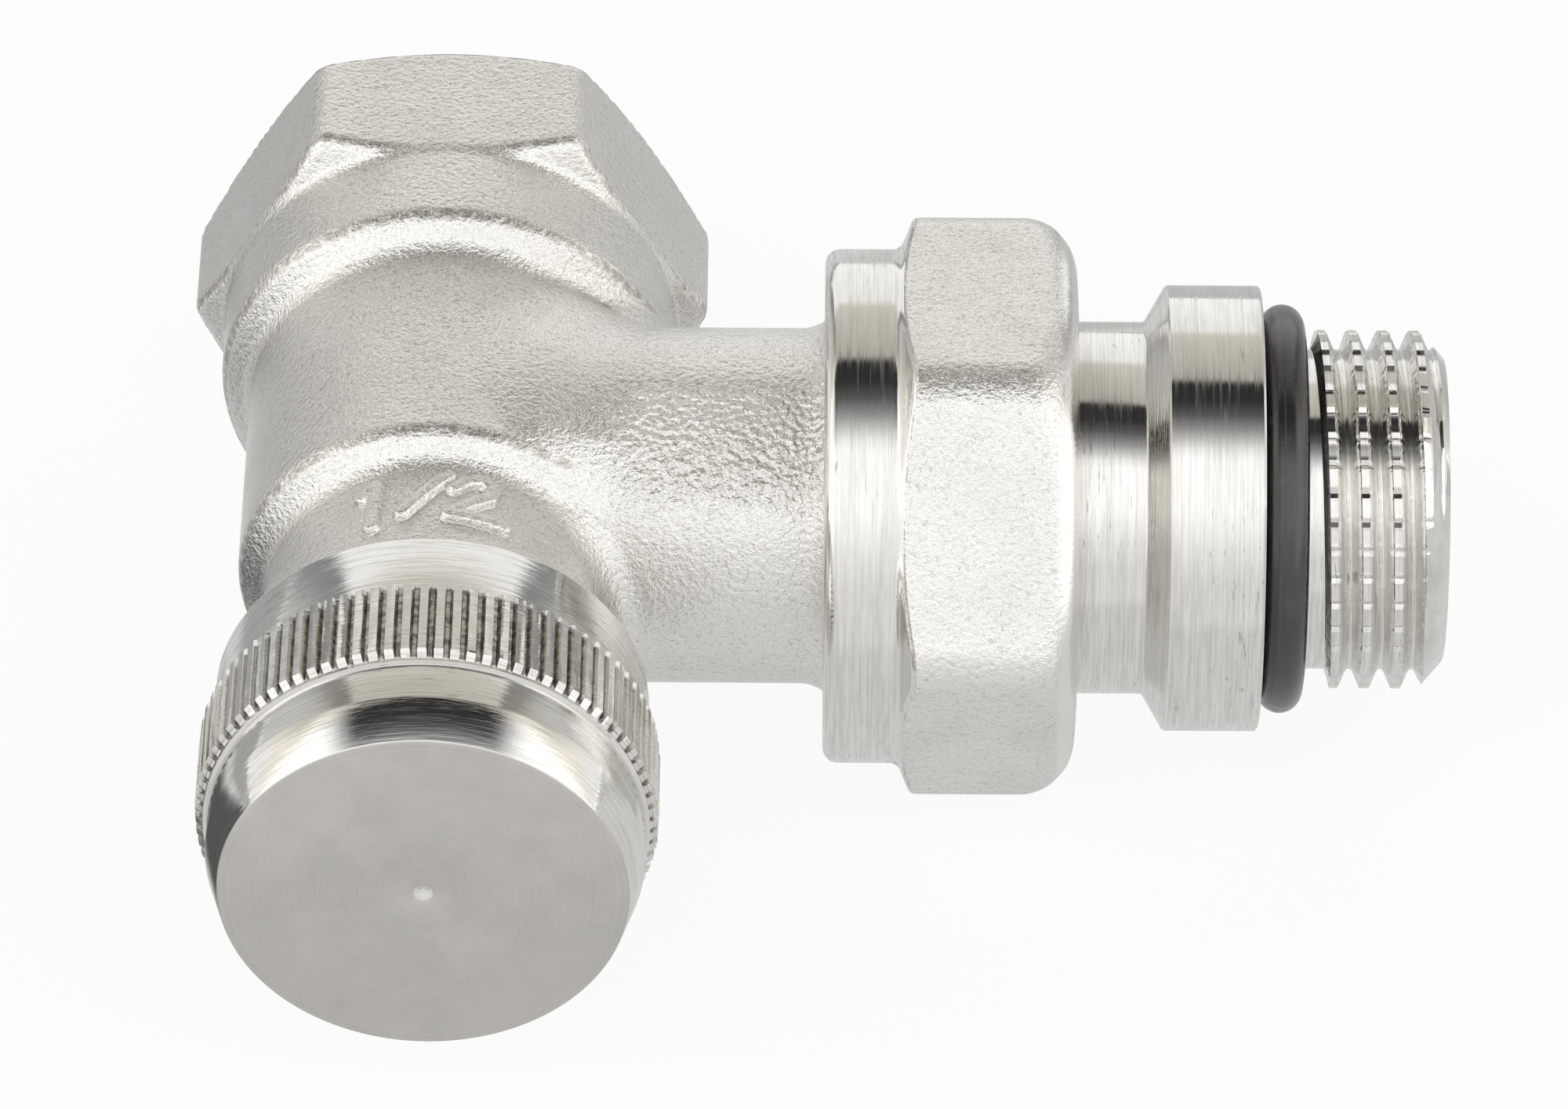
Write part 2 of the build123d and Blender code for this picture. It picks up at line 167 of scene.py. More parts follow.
def makePiece(name, points, faces, creaseAngle=None, normals=None):
    # A closed piece from an array of points in millimetres and an array of four-sided faces. Unless normals are
    # given, points that fall on each other at seams and poles are merged.
    mesh = bpy.data.meshes.new(name)
    corners = np.asarray(faces, dtype=np.int32)
    mesh.vertices.add(len(points))
    mesh.vertices.foreach_set("co", (np.asarray(points) * metre).ravel())
    mesh.loops.add(corners.size)
    mesh.loops.foreach_set("vertex_index", corners.ravel())
    mesh.polygons.add(len(corners))
    mesh.polygons.foreach_set("loop_start", np.arange(len(corners), dtype=np.int32) * corners.shape[1])
    mesh.update(calc_edges=True)
    if normals is None:
        work = bmesh.new()
        work.from_mesh(mesh)
        bmesh.ops.remove_doubles(work, verts=work.verts, dist=mergeReach)
        bmesh.ops.recalc_face_normals(work, faces=work.faces)
        work.to_mesh(mesh)
        work.free()
    mesh.shade_smooth()
    if creaseAngle:
        mesh.set_sharp_from_angle(angle=math.radians(creaseAngle))
    if normals is not None:
        mesh.normals_split_custom_set_from_vertices(normals)
    piece = bpy.data.objects.new(name, mesh)
    bpy.context.scene.collection.objects.link(piece)
    return piece


def gridFaces(rows, columns, closed=False):
    # Four-sided faces between neighbouring rows and columns of a grid. A closed grid's last row meets its first.
    row = np.arange(rows if closed else rows - 1)[:, None] * columns
    after = (row + columns) % (rows * columns)
    column = np.arange(columns - 1)[None, :]
    return np.stack([row + column, row + column + 1, after + column + 1, after + column], -1).reshape(-1, 4)


def onTail(reach, radius, angle):
    # Points about the tail's axis. The angle starts at the top and goes over the front, towards the cap.
    return np.stack([reach + 0 * radius, tailAxisY - radius * np.sin(angle), radius * np.cos(angle)], -1)


def onSpindle(height, radius, angle):
    # Points about the spindle's axis. The angle starts at the top and goes towards the tail.
    return np.stack([radius * np.sin(angle), tailAxisY - height + 0 * radius, radius * np.cos(angle)], -1)


# One turn of a pipe thread: place along the pitch, and height between root 0 and crest 1
threadForm = ((-0.5, 0.0), (-0.44, 0.03), (-0.38, 0.16), (-0.30, 0.46), (-0.17, 0.93), (-0.12, 1.0),
              (0.12, 1.0), (0.17, 0.93), (0.30, 0.46), (0.38, 0.16), (0.44, 0.03), (0.5, 0.0))


def threadRows(spec, start, end):
    # Rows follow the helix: axial = pitch * (row's phase + angle / whole turn) + offset, held between start and
    # end, and radius = root + (crest - root) * threadForm(phase there). Held rows merge into the end circles.
    pitch, offset, root = spec["pitch"], spec["offset"], spec["root"]
    turn = np.linspace(0, 1, spec["columns"])[None, :]
    phases = np.array([place for place, level in threadForm[:-1]])
    first = math.floor((start - offset) / pitch) - 2
    last = math.ceil((end - offset) / pitch) + 1
    steps = (np.arange(first, last)[:, None] + phases[None, :]).ravel()[:, None]
    along = np.clip(pitch * (steps + turn) + offset, start, end)
    phase = (along - offset) / pitch - turn
    phase = phase - np.round(phase)
    level = np.interp(phase, *zip(*threadForm))
    return along, root + (spec["crest"] - root) * level, level


def threadSleeve(spec, place):
    # A closed ring with a thread on one side and a plain wall, sunk in its carrier, on the other
    turn = np.linspace(0, 1, spec["columns"])
    along, radius = threadRows(spec, spec["start"], spec["end"])[:2]
    run = np.clip(np.minimum(along - spec["start"], spec["end"] - along) / spec["fade"], 0, 1)
    radius = spec["root"] + (radius - spec["root"]) * run
    back = np.full((2, spec["columns"]), spec["back"])
    ends = np.array([[spec["end"]], [spec["start"]]]) + 0 * back
    points = place(np.vstack([along, ends]), np.vstack([radius, back]), 2 * np.pi * turn[None, :])
    return points.reshape(-1, 3), gridFaces(len(points), spec["columns"], True)


def joined(first, second, radius):
    # Two solids' distances made one, the inside corner between them filled to a radius:
    # max(radius, min(a, b)) - length of (radius - a, radius - b) where they are positive
    fill = np.hypot(np.maximum(radius - first, 0), np.maximum(radius - second, 0))
    return np.maximum(radius, np.minimum(first, second)) - fill


def shared(first, second, radius):
    # What two solids have in common, its edge rounded to a radius: joined, turned inside out
    return -joined(-first, -second, radius)


def sineCosine(degrees):
    return math.sin(math.radians(degrees)), math.cos(math.radians(degrees))


castBody = {
    "cell": 0.362,  # spacing of the grid that the skin is found on
    "socketFlats": 26.6, "socketCorner": 0.6, "socketMouth": 12.8, "socketEnd": -25.4,
    "mouthEdge": 0.15,
    "hexEnd": -16.1, "hexAngle": 30.0, "hexEdge": 0.5, "hexRoot": 0.4,
    "collarRadius": 13.3, "collarEnd": -10.4,
    "barrelRadius": 11.55, "barrelEnd": 6.7,
    "rampAngle": 40.0,  # the two steps slope, their faces turned this far up from the cap's side
    "rampEdge": 0.5, "rampFoot": 0.6,
    "columnStart": -20.0,  # inside the hexagon
    "neckRadius": 9.95, "neckEnd": 24.0, "neckEdge": 0.4,
    "branchStart": -1.0, "branchRadius": 10.3,
    "branchBlend": (3.4, 1.9),  # fillet beside the barrel and beside the neck
    "blendLead": 1.5, "blendRun": 2.5,  # it changes over this run, from this far before the barrel's end
    "blendReach": 7.0,  # and grows over this much of the branch
    "flareStart": 23.1, "flareRadius": 13.15, "flareFillet": 2.3,
    "branchEnd": 31.5,
    "socketBore": (10.4775, -12.4),  # a bore's radius and the height or reach of its floor
    "way": 6.5, "wayDrop": 1.0,  # a drop is how far below the seat
    "seat": -6.0, "seatBore": 6.0, "seatBoreDrop": 0.5, "seatBoreHalf": 1.5,
    "lip": 6.8, "lipHalf": 0.65,
    "chamber": (7.8, -6.8),
    "threadBore": (8.02, 11.0),
    "spigotBore": (10.6, 27.0),
    "boreEdge": 0.12,
    "neckGroove": (9.25, 17.3, 23.3),  # a thread's bed: its floor's radius, start and end
    "unionGroove": (12.1, 24.4, 31.0),
    "grooveRamp": 0.5,
    "box": ((-16.2, -26.4, -14.4), (32.6, 25.0, 14.4)),
}


def besideGroove(distance, along, radius, groove, ramp):
    # The distance outside a cylinder that has a groove with sloped sides let into it
    floor, start, end = groove
    share = np.clip(np.minimum(along - start, end - along) / ramp + 0.5, 0, 1)
    return distance - radius + (radius - floor) * share


def bodyOutside(spec, x, height, z):
    # Distance outside the casting: a coned hexagon, collar, barrel and neck about the spindle, joined by a
    # filled corner to the branch and its flare about the tail
    spindle = np.hypot(x, z)
    tail = np.hypot(height, z)
    flat = spec["socketFlats"] / 2
    rise, run = sineCosine(spec["hexAngle"])
    leaning = [np.abs(x * run + z * rise) - flat, np.abs(x * run - z * rise) - flat]
    socket = shared(shared(np.abs(z) - flat, leaning[0], spec["socketCorner"]), leaning[1], spec["socketCorner"])
    mouthCone = (spindle - spec["socketMouth"]) * rise + (spec["socketEnd"] - height) * run
    farCone = (spindle - spec["collarRadius"]) * rise + (height - spec["hexEnd"]) * run
    socket = shared(shared(socket, mouthCone, spec["mouthEdge"]), farCone, spec["hexEdge"])
    low = spec["columnStart"] - height
    out, up = sineCosine(spec["rampAngle"])
    steps = []
    for radius, end in ((spec["collarRadius"], spec["collarEnd"]), (spec["barrelRadius"], spec["barrelEnd"])):
        ramp = (height - end) * up + (spindle - radius) * out
        steps.append(np.maximum(shared(spindle - radius, ramp, spec["rampEdge"]), low))
    collar, barrel = steps
    neckSide = besideGroove(spindle, height, spec["neckRadius"], spec["neckGroove"], spec["grooveRamp"])
    neck = np.maximum(shared(neckSide, height - spec["neckEnd"], spec["neckEdge"]), low)
    column = joined(joined(collar, barrel, spec["rampFoot"]), neck, spec["rampFoot"])
    branch = np.maximum(tail - spec["branchRadius"], spec["branchStart"] - x)
    flareSide = besideGroove(tail, x, spec["flareRadius"], spec["unionGroove"], spec["grooveRamp"])
    flare = np.maximum(flareSide, spec["flareStart"] - x)
    branch = joined(branch, flare, spec["flareFillet"])
    byBarrel, byNeck = spec["branchBlend"]
    share = np.clip((height - spec["barrelEnd"] + spec["blendLead"]) / spec["blendRun"], 0, 1)
    grown = np.clip((x - spec["branchStart"]) / spec["blendReach"], 0.001, 1)
    blend = (byBarrel + (byNeck - byBarrel) * share) * grown
    whole = np.maximum(joined(column, branch, blend), x - spec["branchEnd"])
    return np.maximum(joined(whole, socket, spec["hexRoot"]), spec["socketEnd"] - height)


def bodyInside(spec, x, height, z):
    # Distance outside the bores: negative where the casting is hollow
    spindle = np.hypot(x, z)
    tail = np.hypot(height, z)
    socketRadius, socketFloor = spec["socketBore"]
    chamberRadius, chamberFloor = spec["chamber"]
    threadRadius, threadStart = spec["threadBore"]
    spigotRadius, spigotStart = spec["spigotBore"]
    socket = np.maximum(spindle - socketRadius, height - socketFloor)
    way = np.maximum(spindle - spec["way"], height - spec["seat"] + spec["wayDrop"])
    seatBore = np.maximum(spindle - spec["seatBore"],
                          np.abs(height - spec["seat"] + spec["seatBoreDrop"]) - spec["seatBoreHalf"])
    chamber = np.maximum(spindle - chamberRadius, chamberFloor - height)
    thread = np.maximum(spindle - threadRadius, threadStart - height)
    outlet = np.maximum(tail - spec["way"], -x)
    spigot = np.maximum(tail - spigotRadius, spigotStart - x)
    lip = np.maximum(np.maximum(spindle - spec["lip"], spec["seatBore"] - spindle),
                     np.abs(height - spec["seat"] + spec["lipHalf"]) - spec["lipHalf"])
    wide = np.minimum(np.minimum(chamber, thread), np.minimum(outlet, spigot))
    return np.minimum(np.minimum(np.maximum(wide, -lip), seatBore), np.minimum(socket, way))


def bodyDistance(spec, points):
    x, height, z = points[:, 0], points[:, 1], points[:, 2]
    return shared(bodyOutside(spec, x, height, z), -bodyInside(spec, x, height, z), spec["boreEdge"])


def slope(distance, points, reach=0.02):
    # The distance's slope at each point, from the difference across a short reach on each axis
    parts = []
    for axis in range(3):
        side = np.zeros(3)
        side[axis] = reach
        parts.append((distance(points + side) - distance(points - side)) / (2 * reach))
    return np.stack(parts, -1)


settleTurns = 6
leastSquare = 0.2  # keeps a point from leaping where the slope is nearly flat
normalReach = 0.05


def skinOf(distance, low, high, cell):
    # The surface where distance is zero. One point stands in each grid cell that the surface crosses, at the
    # mean of the crossings on its edges, and four cells round a crossed edge make a face. Each point then moves
    # down the slope onto the surface: point - distance * slope / slope squared.
    axes = [np.arange(start, stop, cell) for start, stop in zip(low, high)]
    lattice = np.stack(np.meshgrid(*axes, indexing="ij"), -1)
    shape = lattice.shape[:3]
    level = distance(lattice.reshape(-1, 3)).reshape(shape)
    solid = level < 0
    crossings = np.zeros([count - 1 for count in shape])
    total = np.zeros(crossings.shape + (3,))
    for axis in range(3):
        second, third = (axis + 1) % 3, (axis + 2) % 3
        for corner in ((0, 0), (0, 1), (1, 0), (1, 1)):
            start = np.zeros(3, dtype=int)
            start[[second, third]] = corner
            near = tuple(slice(s, s + count - 1) for s, count in zip(start, shape))
            stop = start + np.eye(3, dtype=int)[axis]
            far = tuple(slice(s, s + count - 1) for s, count in zip(stop, shape))
            crossed = solid[near] != solid[far]
            gap = np.where(crossed, level[near] - level[far], 1)
            total += start * crossed[..., None]
            total[..., axis] += np.where(crossed, level[near] / gap, 0)
            crossings += crossed
    used = crossings > 0
    index = np.full(used.shape, -1)
    index[used] = np.arange(used.sum())
    cells = np.stack(np.nonzero(used), -1)
    points = np.array(low) + cell * (cells + total[used] / crossings[used][:, None])
    faces = []
    for axis in range(3):
        second, third = (axis + 1) % 3, (axis + 2) % 3
        near = [slice(1, count - 1) for count in shape]
        near[axis] = slice(0, shape[axis] - 1)
        far = list(near)
        far[axis] = slice(1, shape[axis])
        inward, outward = solid[tuple(near)], solid[tuple(far)]
        edges = np.stack(np.nonzero(inward != outward), -1)
        flip = outward[tuple(edges.T)]
        base = edges.copy()
        base[:, [second, third]] += 1
        ring = []
        for corner in ((0, 0), (1, 0), (1, 1), (0, 1)):
            around = base.copy()
            around[:, [second, third]] -= corner
            ring.append(index[tuple(around.T)])
        quads = np.stack(ring, -1)
        quads[flip] = quads[flip][:, ::-1]
        faces.append(quads)
    for turn in range(settleTurns):
        fall = slope(distance, points)
        square = np.maximum((fall ** 2).sum(-1), leastSquare)
        points -= (np.clip(distance(points), -cell, cell) / square)[:, None] * fall
    normals = slope(distance, points, normalReach)
    normals /= np.linalg.norm(normals, axis=1)[:, None] + 1e-9
    return points, np.vstack(faces), normals


castNut = {
    "cell": 0.27,
    "flats": 30.0,
    "corner": 1.6,
    "cornerTurn": 6.0,  # one corner lies this far above the cap's side
    "hexStart": 26.5,
    "end": 36.7,
    "endRadius": 14.6,  # the end's cone starts here on the face
    "endAngle": 52.0, "endEdge": 0.6,
    "sideEdge": 1.1,
    "coneAngle": 22.0, "coneEdge": 0.3,
    "root": 0.35,
    "skirtStart": 22.15,
    "skirtEnd": 28.0,  # inside the hexagon
    "skirt": 14.9, "skirtEdge": 0.9,
    "thread": 13.21,
    "shoulder": 34.1,
    "hole": 10.96,
    "mouth": 0.4,
    "boreEdge": 0.12,
    "box": ((21.0, -18.2, -18.2), (38.0, 18.2, 18.2)),
}


def nutDistance(spec, points):
    # A coned hexagon with soft corners and a rounded end, a round skirt, and a stepped bore, all about the tail
    x, height, z = points[:, 0], points[:, 1], points[:, 2]
    tail = np.hypot(height, z)
    sides = []
    for side in range(3):
        up, out = sineCosine(spec["cornerTurn"] + 30 + 60 * side)
        sides.append(np.abs(height * out + z * up) - spec["flats"] / 2)
    hexagon = shared(shared(sides[0], sides[1], spec["corner"]), sides[2], spec["corner"])
    rise, run = sineCosine(spec["coneAngle"])
    cone = (tail - spec["skirt"]) * rise + (spec["hexStart"] - x) * run
    rise, run = sineCosine(spec["endAngle"])
    endCone = (x - spec["end"]) * rise + (tail - spec["endRadius"]) * run
    hexagon = shared(shared(hexagon, endCone, spec["sideEdge"]), x - spec["end"], spec["endEdge"])
    hexagon = shared(hexagon, cone, spec["coneEdge"])
    skirt = shared(tail - spec["skirt"], spec["skirtStart"] - x, spec["skirtEdge"])
    skirt = np.maximum(skirt, x - spec["skirtEnd"])
    thread = np.maximum(tail - spec["thread"], x - spec["shoulder"])
    mouth = (tail - spec["thread"] - spec["mouth"] + x - spec["skirtStart"]) / math.sqrt(2)
    hole = tail - spec["hole"]
    outside = joined(hexagon, skirt, spec["root"])
    return shared(outside, -np.minimum(np.minimum(thread, mouth), hole), spec["boreEdge"])


def makeCast(name, distance, spec):
    low, high = spec["box"]
    points, faces, normals = skinOf(lambda place: distance(spec, place), low, high, spec["cell"])
    points = np.stack([points[:, 0], tailAxisY - points[:, 1], points[:, 2]], -1)
    normals = np.stack([normals[:, 0], -normals[:, 1], normals[:, 2]], -1)
    # Turning the height into -Y is a mirror, so each face is turned round
    return makePiece(name, points, faces[:, ::-1], None, normals)


body = makeCast("castBody", bodyDistance, castBody)
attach(body, "valve")
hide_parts("valve_body")
nut = makeCast("castNut", nutDistance, castNut)
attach(nut, "nut")
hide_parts("union_nut")
print("castings made:", len(body.data.polygons), "and", len(nut.data.polygons), "faces")


sizeMark = {
    "neck": 9.95,
    "relief": 0.42,
    "sink": 0.12,
    "stroke": 0.48,  # half a stroke's width
    "soft": 0.16,
    "foot": 13.05,  # height of the figures' foot
    "low": 8.1,
    "high": 13.9,
    "side": 5.0,
    "back": 9.3,
    "crown": 0.06,  # the strokes' middles stand this much higher
    "rows": 78,
    "columns": 132,
    "strokes": (((-3.4, 0.1), (-3.15, 3.5), (-3.95, 2.75)),
                ((-1.7, 0.85), (-0.85, 1.9), (0.0, 3.0), (0.85, 3.85)),
                ((1.25, 2.85), (1.8, 3.5), (2.75, 3.85), (3.4, 3.35), (3.2, 2.5), (2.1, 1.65), (0.95, 0.65),
                 (4.0, 0.35))),
}


def makeSizeMark(spec):
    # Raised size figures on the neck: radius = neck - sink + relief * soft step of the distance to the nearest
    # stroke. Between the strokes the sheet lies under the neck's skin, and its back lies deeper still.
    rows, columns = spec["rows"], spec["columns"]
    across = np.linspace(-spec["side"], spec["side"], columns)[None, :]
    height = np.linspace(spec["low"], spec["high"], rows)[:, None]
    up = spec["foot"] - height
    nearest = np.full((rows, columns), np.inf)
    for stroke in spec["strokes"]:
        for (x1, y1), (x2, y2) in zip(stroke, stroke[1:]):
            length = (x2 - x1) ** 2 + (y2 - y1) ** 2
            share = np.clip(((across - x1) * (x2 - x1) + (up - y1) * (y2 - y1)) / length, 0, 1)
            away = np.hypot(across - x1 - share * (x2 - x1), up - y1 - share * (y2 - y1))
            nearest = np.minimum(nearest, away)
    edge = np.clip((spec["stroke"] + spec["soft"] - nearest) / (2 * spec["soft"]), 0, 1)
    rise = (spec["relief"] + spec["sink"]) * edge * edge * (3 - 2 * edge)
    crown = spec["crown"] * np.clip(1 - nearest / spec["stroke"], 0, 1)
    angle = np.arcsin(across / spec["neck"]) + 0 * height
    front = onSpindle(height + 0 * across, spec["neck"] - spec["sink"] + rise + crown, angle)
    back = onSpindle(height + 0 * across, spec["back"] + 0 * rise, angle)
    points = np.vstack([front, back[::-1]])
    faces = [gridFaces(2 * rows, columns, True)]
    # The two short sides are closed by faces between the front's and the back's end points
    line = np.arange(rows - 1)
    corners = (line, line + 1, 2 * rows - 2 - line, 2 * rows - 1 - line)
    faces += [np.stack([row * columns + side for row in corners], -1) for side in (0, columns - 1)]
    return makePiece("sizeMark", points.reshape(-1, 3), np.vstack(faces), 60)


neckThread = {
    "start": 17.2, "end": 23.4, "pitch": 1.5, "offset": 0.0, "root": 9.3, "crest": 9.95, "back": 9.0,
    "fade": 0.5, "columns": 241,
}
unionThread = {
    "start": 24.3, "end": 31.1, "pitch": 1.814, "offset": 0.0, "root": 12.2, "crest": 13.15, "back": 11.8,
    "fade": 0.7, "columns": 241,
}
socketThread = {
    "start": -25.0, "end": -12.7, "pitch": 1.814, "offset": 0.3, "root": 10.45, "crest": 9.35, "back": 10.75,
    "fade": 1.2, "columns": 241,
}


def makeThreads():
    made = {}
    for name, spec, place in (("neckThread", neckThread, onSpindle), ("unionThread", unionThread, onTail),
                              ("socketThread", socketThread, onSpindle)):
        piece = makePiece(name, *threadSleeve(spec, place), 40)
        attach(piece, "valve")
        made[name] = piece
    return made


mark = makeSizeMark(sizeMark)
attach(mark, "valve")
threads = makeThreads()
print("size mark and threads made")


# A rounded corner in four points: how much of the edge each is short of the corner, along and on the radius
roundForm = ((1.0, 0.0), (0.6, 0.08), (0.08, 0.6), (0.0, 1.0))

tailSpec = {
    "columns": 469,  # 78 for each side of the key, 12 for each nick in the thread
    "crease": 32,
    "start": 27.3,
    "spigot": 10.45, "spigotEdge": 0.5,
    "ringGroove": (28.6, 30.6, 8.74),
    "spigotEnd": 31.5,
    "tube": 10.78,
    "splitGroove": (32.55, 34.15, 9.5),
    "cone": 40.65,
    "flange": 12.92, "flangeStart": 41.85, "flangeEnd": 47.35, "flangeEdge": 0.25,
    "neck": 9.3,
    "threadStart": 50.0,
    "runOut": (50.05, 50.65),  # the crest rises from nothing to full between these places
    "steep": 7.0,  # how much steeper the near flank is at first
    "steepEnd": 53.0,
    "pitch": 1.814,
    "offset": 0.25,
    "root": 9.26,
    "crest": 10.35,
    "endRadius": 8.8,  # the end's long cone cuts the last thread away
    "endSlope": 1.17, "end": 58.0,
    "nicks": 39,
    "nickHalf": 0.20,  # half a nick's width
    "nickDepth": 0.12, "nickBow": 0.7,
    "nickTop": 0.6,  # share of the crest's height where a nick begins
    "nickFade": 0.3, "nickTurn": 0.75,
    "lip": 0.03,  # height of the burr beside it
    "lipPlace": 1.3, "lipWidth": 0.1,
    "key": 6.0, "keyCorner": 0.12, "keyEdge": 0.25, "keyFloor": 46.0,
    "pocketFloor": 45.0,
    "bore": 6.7,
}


def hexRadius(angle, half, rounding):
    # The radius to a hexagon's side: half its width over the cosine of the angle from the nearest side's middle
    turn = (angle + math.pi / 6) % (math.pi / 3) - math.pi / 6
    return np.minimum(half / np.cos(turn), half / math.cos(math.pi / 6) - rounding)


def makeTail(spec):
    # Rows of points about the tail's axis, from the spigot's face over the outside and back through the bore
    columns = spec["columns"]
    angle = np.linspace(0, 2 * np.pi, columns)[None, :]
    start, spigot, chamfer = spec["start"], spec["spigot"], spec["spigotEdge"]
    ringLow, ringHigh, ringFloor = spec["ringGroove"]
    splitLow, splitHigh, splitFloor = spec["splitGroove"]
    tube, cone, end = spec["tube"], spec["cone"], spec["end"]
    flange, edge = spec["flange"], spec["flangeEdge"]
    flangeStart, flangeEnd = spec["flangeStart"], spec["flangeEnd"]
    outside = [(start, spec["bore"]), (start, spigot - chamfer), (start + chamfer, spigot), (ringLow, spigot),
               (ringLow, ringFloor), (ringHigh, ringFloor), (ringHigh, spigot), (spec["spigotEnd"], spigot),
               (spec["spigotEnd"] + (tube - spigot), tube), (splitLow, tube), (splitLow, splitFloor),
               (splitHigh, splitFloor), (splitHigh, tube), (cone - 0.12, tube), (cone + 0.03, tube + 0.08),
               (flangeStart - 0.05, flange - 0.12), (flangeStart + 0.1, flange)]
    outside += [(flangeEnd - edge * short, flange - edge * low) for short, low in roundForm]
    plain = np.array(outside + [(flangeEnd, spec["neck"])])
    along = plain[:, :1] + 0 * angle
    radius = plain[:, 1:] + 0 * angle
    helix, thread, level = threadRows(spec, spec["threadStart"], end)
    # The first turn fades in, and its near flank is a steep wall: its height to a power that falls to 1 along it
    phase = (helix - spec["offset"]) / spec["pitch"] - angle / (2 * np.pi)
    crestPlace = helix - spec["pitch"] * (phase - np.round(phase))
    near = (helix < crestPlace) * np.clip((spec["steepEnd"] - crestPlace) / spec["pitch"], 0, 1)
    fadeLow, fadeHigh = spec["runOut"]
    level = level ** (1 + spec["steep"] * near) * np.clip((crestPlace - fadeLow) / (fadeHigh - fadeLow), 0, 1)
    thread = spec["root"] + (spec["crest"] - spec["root"]) * level
    # A nick crosses the crest at even angles: its depth falls off with the distance round from its middle
    nick = (angle / (2 * np.pi) * spec["nicks"] + spec["nickTurn"]) % 1 - 0.5
    away = np.abs(nick) * 2 * np.pi * spec["crest"] / spec["nicks"]
    pit = np.clip(1 - away / spec["nickHalf"], 0, 1)
    lip = np.exp(-((away - spec["nickHalf"] * spec["lipPlace"]) / spec["lipWidth"]) ** 2)
    top = np.clip((level - spec["nickTop"]) / spec["nickFade"], 0, 1)
    thread = thread + top * (spec["lip"] * lip - spec["nickDepth"] * pit ** spec["nickBow"])
    thread = np.minimum(thread, spec["endRadius"] + spec["endSlope"] * (end - helix))
    key, edge = hexRadius(angle, spec["key"], spec["keyCorner"]), spec["keyEdge"]
    wide = np.maximum(key, spec["bore"])
    inside = [(end, key + edge), (end - edge, key), (spec["keyFloor"], key), (spec["keyFloor"], wide),
              (spec["pocketFloor"], wide), (spec["pocketFloor"], spec["bore"] + 0 * angle)]
    back = np.vstack([np.full((1, columns), reach) for reach, line in inside])
    backRadius = np.vstack([line for reach, line in inside])
    points = onTail(np.vstack([along, helix, back]), np.vstack([radius, thread, backRadius]), angle)
    return makePiece("tailBody", points.reshape(-1, 3), gridFaces(len(points), columns, True), spec["crease"])


tail = makeTail(tailSpec)
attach(tail, "tail")
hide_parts("tail_piece")
print("tail piece made:", len(tail.data.polygons), "faces")


capSpec = {
    "crease": 38,
    "seed": 11,
    "rim": 16.85,
    "bore": 10.01,
    "mouth": (0.4, 0.3),  # the bore's chamfer, along and on the radius
    "floor": 30.3,
    "band": 12.3,
    "rimEdge": 0.25,
    "knurlStart": 21.35, "knurlEnd": 27.25, "knurlEdge": 0.3, "knurlRows": 12,
    "crest": 13.0,
    "root": 12.5,
    "ring": 12.56,  # plain ring that the knurl's lower end runs out on
    "ringEnd": 27.6,
    "ribs": 88,
    "coneStart": 30.15,
    "end": 33.0,
    "face": 11.5,
    "dimple": 0.80, "dimpleDepth": 0.35,
    "skew": 0.012,  # how unevenly the ribs stand, as a share of the pitch,
    "uneven": 0.025,  # and rise
    "burr": 0.008,
}

# Across one rib: place along the pitch, and height between the valley 0 and the crest 1
ribForm = ((-0.5, 0.0), (-0.38, 0.02), (-0.34, 0.12), (-0.28, 0.88), (-0.25, 1.0), (-0.08, 0.98), (0.08, 0.98),
           (0.25, 1.0), (0.28, 0.88), (0.34, 0.12), (0.38, 0.02), (0.5, 0.0))


